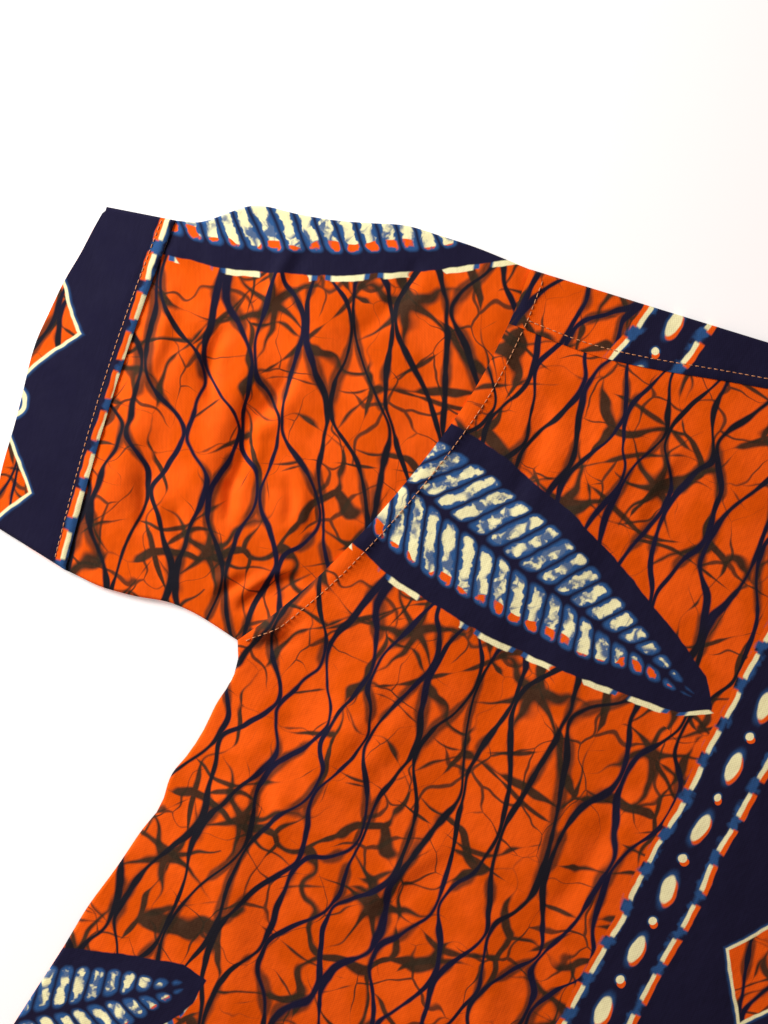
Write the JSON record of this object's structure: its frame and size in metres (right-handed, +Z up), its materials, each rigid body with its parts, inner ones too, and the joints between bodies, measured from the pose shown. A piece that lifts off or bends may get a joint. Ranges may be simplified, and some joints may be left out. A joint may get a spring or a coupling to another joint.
{
  "type": "wax print shirt",
  "caption": "Short-sleeved pullover shirt of wax-printed cotton laid flat, with a forward yoke, set-in sleeves with turned bands and a bound round neck with a slit.",
  "frame": {"origin": "centre of the shirt's outline, on the surface it lies on", "axes": "+X to the wearer's left along the sleeves, +Y to the neck, +Z up from the surface"},
  "size_m": [0.862, 0.7486, 0.0085],
  "materials": {
    "printed_cotton": "plain-woven cotton, wax-printed orange with navy veins, smooth with a low sheen",
    "doubled_cotton": "the same printed cotton folded double, mostly its navy ground, topstitched"
  },
  "bodies": {
    "root": {"front_panel": "printed_cotton", "back_panel": "printed_cotton", "yoke": "printed_cotton", "right_sleeve": "printed_cotton", "left_sleeve": "printed_cotton", "right_sleeve_band": "doubled_cotton", "left_sleeve_band": "doubled_cotton", "neck_binding": "doubled_cotton"}
  },
  "joints": []
}
